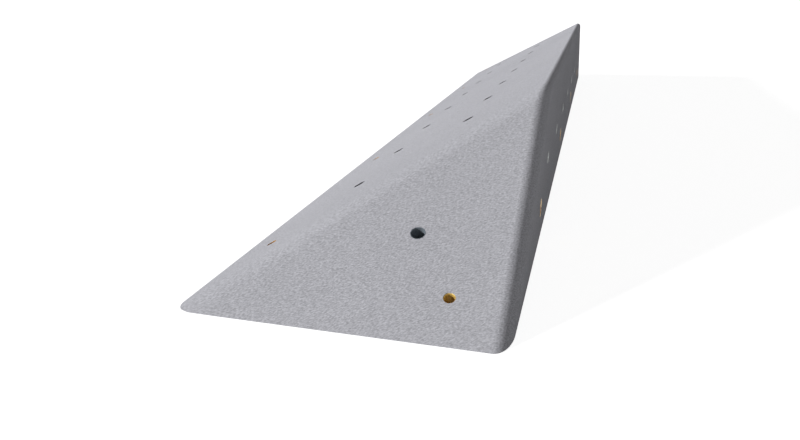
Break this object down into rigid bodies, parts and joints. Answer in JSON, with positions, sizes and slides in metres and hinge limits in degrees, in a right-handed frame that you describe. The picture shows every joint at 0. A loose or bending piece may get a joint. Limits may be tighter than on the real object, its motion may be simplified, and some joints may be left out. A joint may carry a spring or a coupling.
{
  "type": "rail climbing hold",
  "caption": "Long wedge-shaped hollow climbing volume with rounded edges, threaded inserts for bolt-on holds, lined wall-screw holes and plywood stiffening inside.",
  "frame": {"origin": "middle of the footprint, on the wall plane", "axes": "+Z away from the wall, +Y along the length to the far end, +X towards the upright face under the ridge"},
  "size_m": [0.25, 1.4, 0.1405],
  "materials": {
    "skin": "moulded glass fibre with a fine sandy grain",
    "plywood": "sanded birch plywood",
    "softwood": "planed softwood",
    "insert_steel": "blackened steel",
    "screw_steel": "zinc plated",
    "sleeve_brass": "drawn brass"
  },
  "bodies": {
    "root": {"shell": "skin", "left_lower_board": "plywood", "left_upper_board": "plywood", "right_board": "plywood", "near_board": "plywood", "far_board": "plywood", "rib_near_end": "plywood", "rib_near": "plywood", "rib_near_middle": "plywood", "rib_far_middle": "plywood", "rib_far": "plywood", "rib_far_end": "plywood", "left_base_rail": "softwood", "right_base_rail": "softwood", "near_base_rail": "softwood", "far_base_rail": "softwood", "left_lower_inserts": "insert_steel", "left_upper_inserts": "insert_steel", "right_inserts": "insert_steel", "near_insert": "insert_steel", "far_insert": "insert_steel", "left_lower_insert_screws": "screw_steel", "left_upper_insert_screws": "screw_steel", "right_insert_screws": "screw_steel", "near_insert_screws": "screw_steel", "far_insert_screws": "screw_steel", "left_screw_sleeves": "sleeve_brass", "right_screw_sleeves": "sleeve_brass", "near_screw_sleeve": "sleeve_brass", "far_screw_sleeve": "sleeve_brass"}
  },
  "joints": []
}
